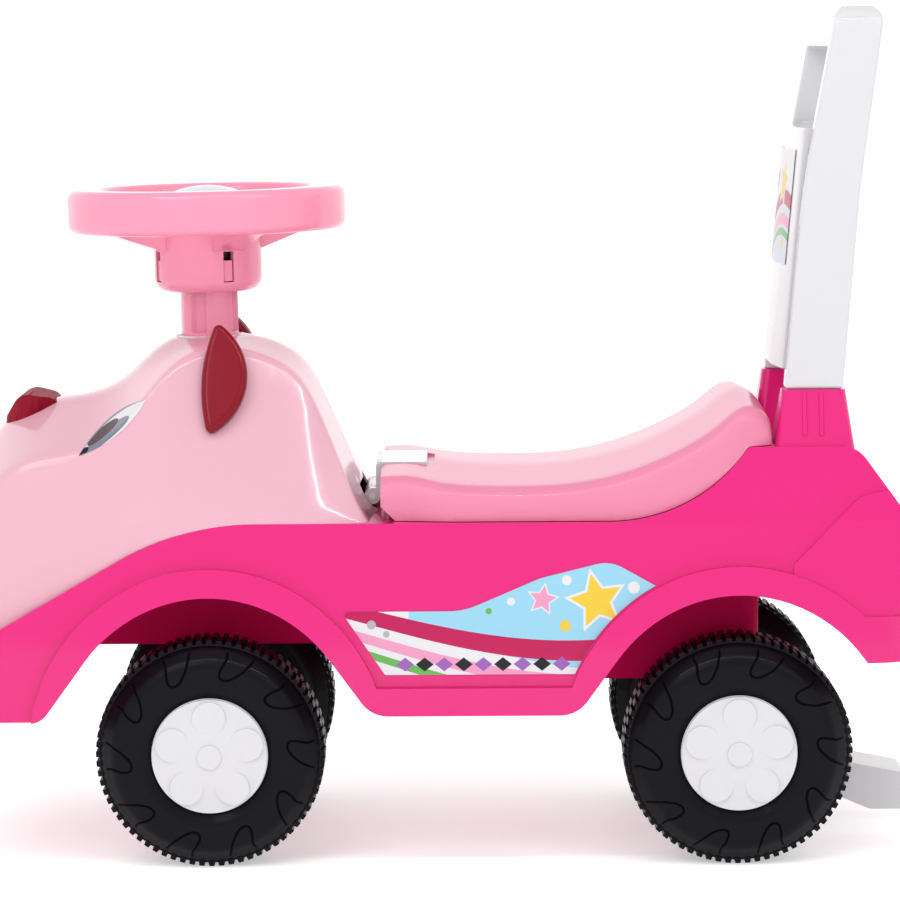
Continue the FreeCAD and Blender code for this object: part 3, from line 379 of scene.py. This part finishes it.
def eye_point(u, v):
    """Turns a point along and across the eye into X and Z."""
    return (EYE_X + u * math.cos(EYE_TILT) - v * math.sin(EYE_TILT),
            EYE_Z + u * math.sin(EYE_TILT) + v * math.cos(EYE_TILT))


def almond(top, foot, count=24):
    """Closed outline between two bowed lines from corner to corner."""
    along = [-EYE_HALF + 2 * EYE_HALF * i / count for i in range(count + 1)]
    lower = [eye_point(u, foot * (1 - (u / EYE_HALF) ** 2)) for u in along]
    upper = [eye_point(u, top * (1 - (u / EYE_HALF) ** 2)) for u in along[-2:0:-1]]
    return lower + upper


def oval(u, v, wide, tall, count=32):
    return [eye_point(u + wide * math.cos(i * math.tau / count), v + tall * math.sin(i * math.tau / count))
            for i in range(count)]


eye_shapes = [(oval(-5, -1.2, 15, 2.6), "slate"), (oval(-6.5, 1.2, 10, 2.2), "plum"),
              (oval(-21, 0.0, 4.5, 1.6), "ink_black"), (almond(EYE_BOW, EYE_BOW * 0.8), "slate")]
for hand, side in HANDS:
    printed_sheet("eye_film_" + hand, almond(EYE_BOW, -EYE_BOW), eye_shapes, on_side(head_surface, side), 0.8,
                  "chassis", "eye_" + hand, flip=side > 0)

# Raised hooks on the tyres' sidewalls, coloured darker than the tyre as painted shade: radius in mm and angle
# in degrees along each, and the rib's section

HOOK_COUNT = 10
HOOK = [(57.2, -8.0), (53.0, -8.6), (48.0, -8.4), (43.6, -5.6), (42.4, -1.2), (44.2, 3.0), (48.6, 4.6),
        (53.4, 5.0), (57.2, 7.4)]
HOOK_SKEW = 0.55
HOOK_FOOT = 58
HOOK_STEPS = 5
RIB_SECTION = [(-0.9, -0.35), (-0.45, 0.35), (0.0, 0.5), (0.45, 0.35), (0.9, -0.35)]


def open_curve(corners, steps):
    """Smooth curve through the corners."""
    p = [Vector(c) for c in [corners[0]] + corners + [corners[-1]]]
    path = []
    for i in range(1, len(p) - 2):
        a, b, c, d = p[i - 1], p[i], p[i + 1], p[i + 2]
        for j in range(steps):
            t = j / steps
            path.append(0.5 * (2 * b + (c - a) * t + (2 * a - 5 * b + 4 * c - d) * t ** 2
                               + (3 * b - a - 3 * c + d) * t ** 3))
    return path + [p[-2]]


def sidewall_hooks(wheel, side):
    """Ribs in the shape of rounded hooks, raised on the outer sidewall and coloured darker than the tyre as
    painted shade.
    """
    low, high = [Vector(c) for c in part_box(wheel + "_tyre")]
    middle = (low + high) / 2
    surface = surface_of(wheel + "_tyre")
    inward = Vector((0, -side, 0))
    wide = len(RIB_SECTION)
    points, faces = [], []
    for i in range(HOOK_COUNT):
        first = len(points)
        path = []
        for radius, angle in open_curve(HOOK, HOOK_STEPS):
            turn = math.radians(angle + HOOK_SKEW * (HOOK_FOOT - radius) + i * 360 / HOOK_COUNT)
            path.append(Vector((radius * math.cos(turn), radius * math.sin(turn))))
        last = len(path) - 1
        for k, spot in enumerate(path):
            along = (path[min(k + 1, last)] - path[max(k - 1, 0)]).normalized()
            across = Vector((-along.y, along.x))
            taper = min(1.0, 0.35 + 0.3 * min(k, last - k))
            for offset, rise in RIB_SECTION:
                flat = spot + across * offset * taper
                start = Vector((middle.x + flat.x * MM, side * SIDE_START, middle.z + flat.y * MM))
                hit = surface.ray_cast(start, inward)[0]
                points.append(hit - inward * rise * taper * MM)
        for k in range(last):
            for m in range(wide - 1):
                a = first + k * wide + m
                quad = [a, a + 1, a + 1 + wide, a + wide]
                faces.append(quad if side > 0 else quad[::-1])
    new_piece(wheel + "_sidewall_hooks", points, faces, wheel + "_wheel", [painted_hook_shade])


for end in ("front", "rear"):
    for hand, side in HANDS:
        sidewall_hooks(end + "_" + hand, side)

# Pale floor with a glow that lifts its shadows

FLOOR_SIZE = 60.0
FLOOR_COLOUR = (0.90, 0.89, 0.90)
FLOOR_GLOW = 0.42
bpy.ops.mesh.primitive_plane_add(size=FLOOR_SIZE, location=(0, 0, 0))
plane = bpy.context.object
plane.name = "floor"
floor_paint = bpy.data.materials.new("floor")
floor_paint.use_nodes = True
floor_shader = floor_paint.node_tree.nodes["Principled BSDF"]
floor_shader.inputs["Base Color"].default_value = (*FLOOR_COLOUR, 1)
floor_shader.inputs["Roughness"].default_value = 0.55
floor_shader.inputs["Emission Color"].default_value = (1, 1, 1, 1)
floor_shader.inputs["Emission Strength"].default_value = FLOOR_GLOW
plane.data.materials.append(floor_paint)

# White sky that is dimmer behind the camera and overhead, so that dark plastic shows its relief

SKY_FRONT, SKY_BACK, SKY_TOP = 1.1, 1.3, 0.65
world = bpy.data.worlds.new("studio")
bpy.context.scene.world = world
world.use_nodes = True
sky = world.node_tree
direction = sky.nodes.new("ShaderNodeTexCoord")
axes = sky.nodes.new("ShaderNodeSeparateXYZ")
level = sky.nodes.new("ShaderNodeMapRange")
height = sky.nodes.new("ShaderNodeMapRange")
blend = sky.nodes.new("ShaderNodeMix")
for ramp, (low, high, first, last) in ((level, (-0.7, 0.4, SKY_FRONT, SKY_BACK)),
                                       (height, (0.15, 0.9, 0.0, 1.0))):
    ramp.interpolation_type = "SMOOTHSTEP"
    ramp.inputs["From Min"].default_value = low
    ramp.inputs["From Max"].default_value = high
    ramp.inputs["To Min"].default_value = first
    ramp.inputs["To Max"].default_value = last
blend.inputs["B"].default_value = SKY_TOP
sky.links.new(direction.outputs["Generated"], axes.inputs["Vector"])
sky.links.new(axes.outputs["Y"], level.inputs["Value"])
sky.links.new(axes.outputs["Z"], height.inputs["Value"])
sky.links.new(level.outputs["Result"], blend.inputs["A"])
sky.links.new(height.outputs["Result"], blend.inputs["Factor"])
background = sky.nodes["Background"]
background.inputs["Color"].default_value = (1, 1, 1, 1)
sky.links.new(blend.outputs["Result"], background.inputs["Strength"])


# Studio lamps: place, aim, size in metres and power in watts

def add_area(name, location, target, size, power):
    lamp = bpy.data.lights.new(name, "AREA")
    lamp.shape = "RECTANGLE"
    lamp.size, lamp.size_y = size
    lamp.energy = power
    item = bpy.data.objects.new(name, lamp)
    bpy.context.collection.objects.link(item)
    item.location = location
    item.rotation_euler = (Vector(target) - Vector(location)).to_track_quat("-Z", "Y").to_euler()


add_area("key", (-0.8, -1.5, 1.6), (0, 0, 0.25), (1.0, 0.7), 6.5)
add_area("fill", (1.3, -1.4, 1.5), (0, 0, 0.2), (1.0, 0.7), 2)
add_area("top_strip", (0.0, -0.75, 1.6), (0, 0, 0.2), (2.4, 0.035), 11)

# Camera where the photograph was taken from, looking down a little

CAMERA_PLACE = (0.01273, -2.04304, 0.44321)
CAMERA_DOWN = math.radians(6.341)
CAMERA_ROLL = math.radians(-0.324)
camera_data = bpy.data.cameras.new("camera")
camera_data.sensor_width = 36.0
camera_data.lens = 146.0
camera = bpy.data.objects.new("camera", camera_data)
bpy.context.collection.objects.link(camera)
camera.location = CAMERA_PLACE
pitch = Matrix.Rotation(math.pi / 2 - CAMERA_DOWN, 3, "X")
roll = Matrix.Rotation(CAMERA_ROLL, 3, "Z")
camera.rotation_euler = (pitch @ roll).to_euler()
bpy.context.scene.camera = camera
bpy.context.scene.view_settings.view_transform = "Standard"
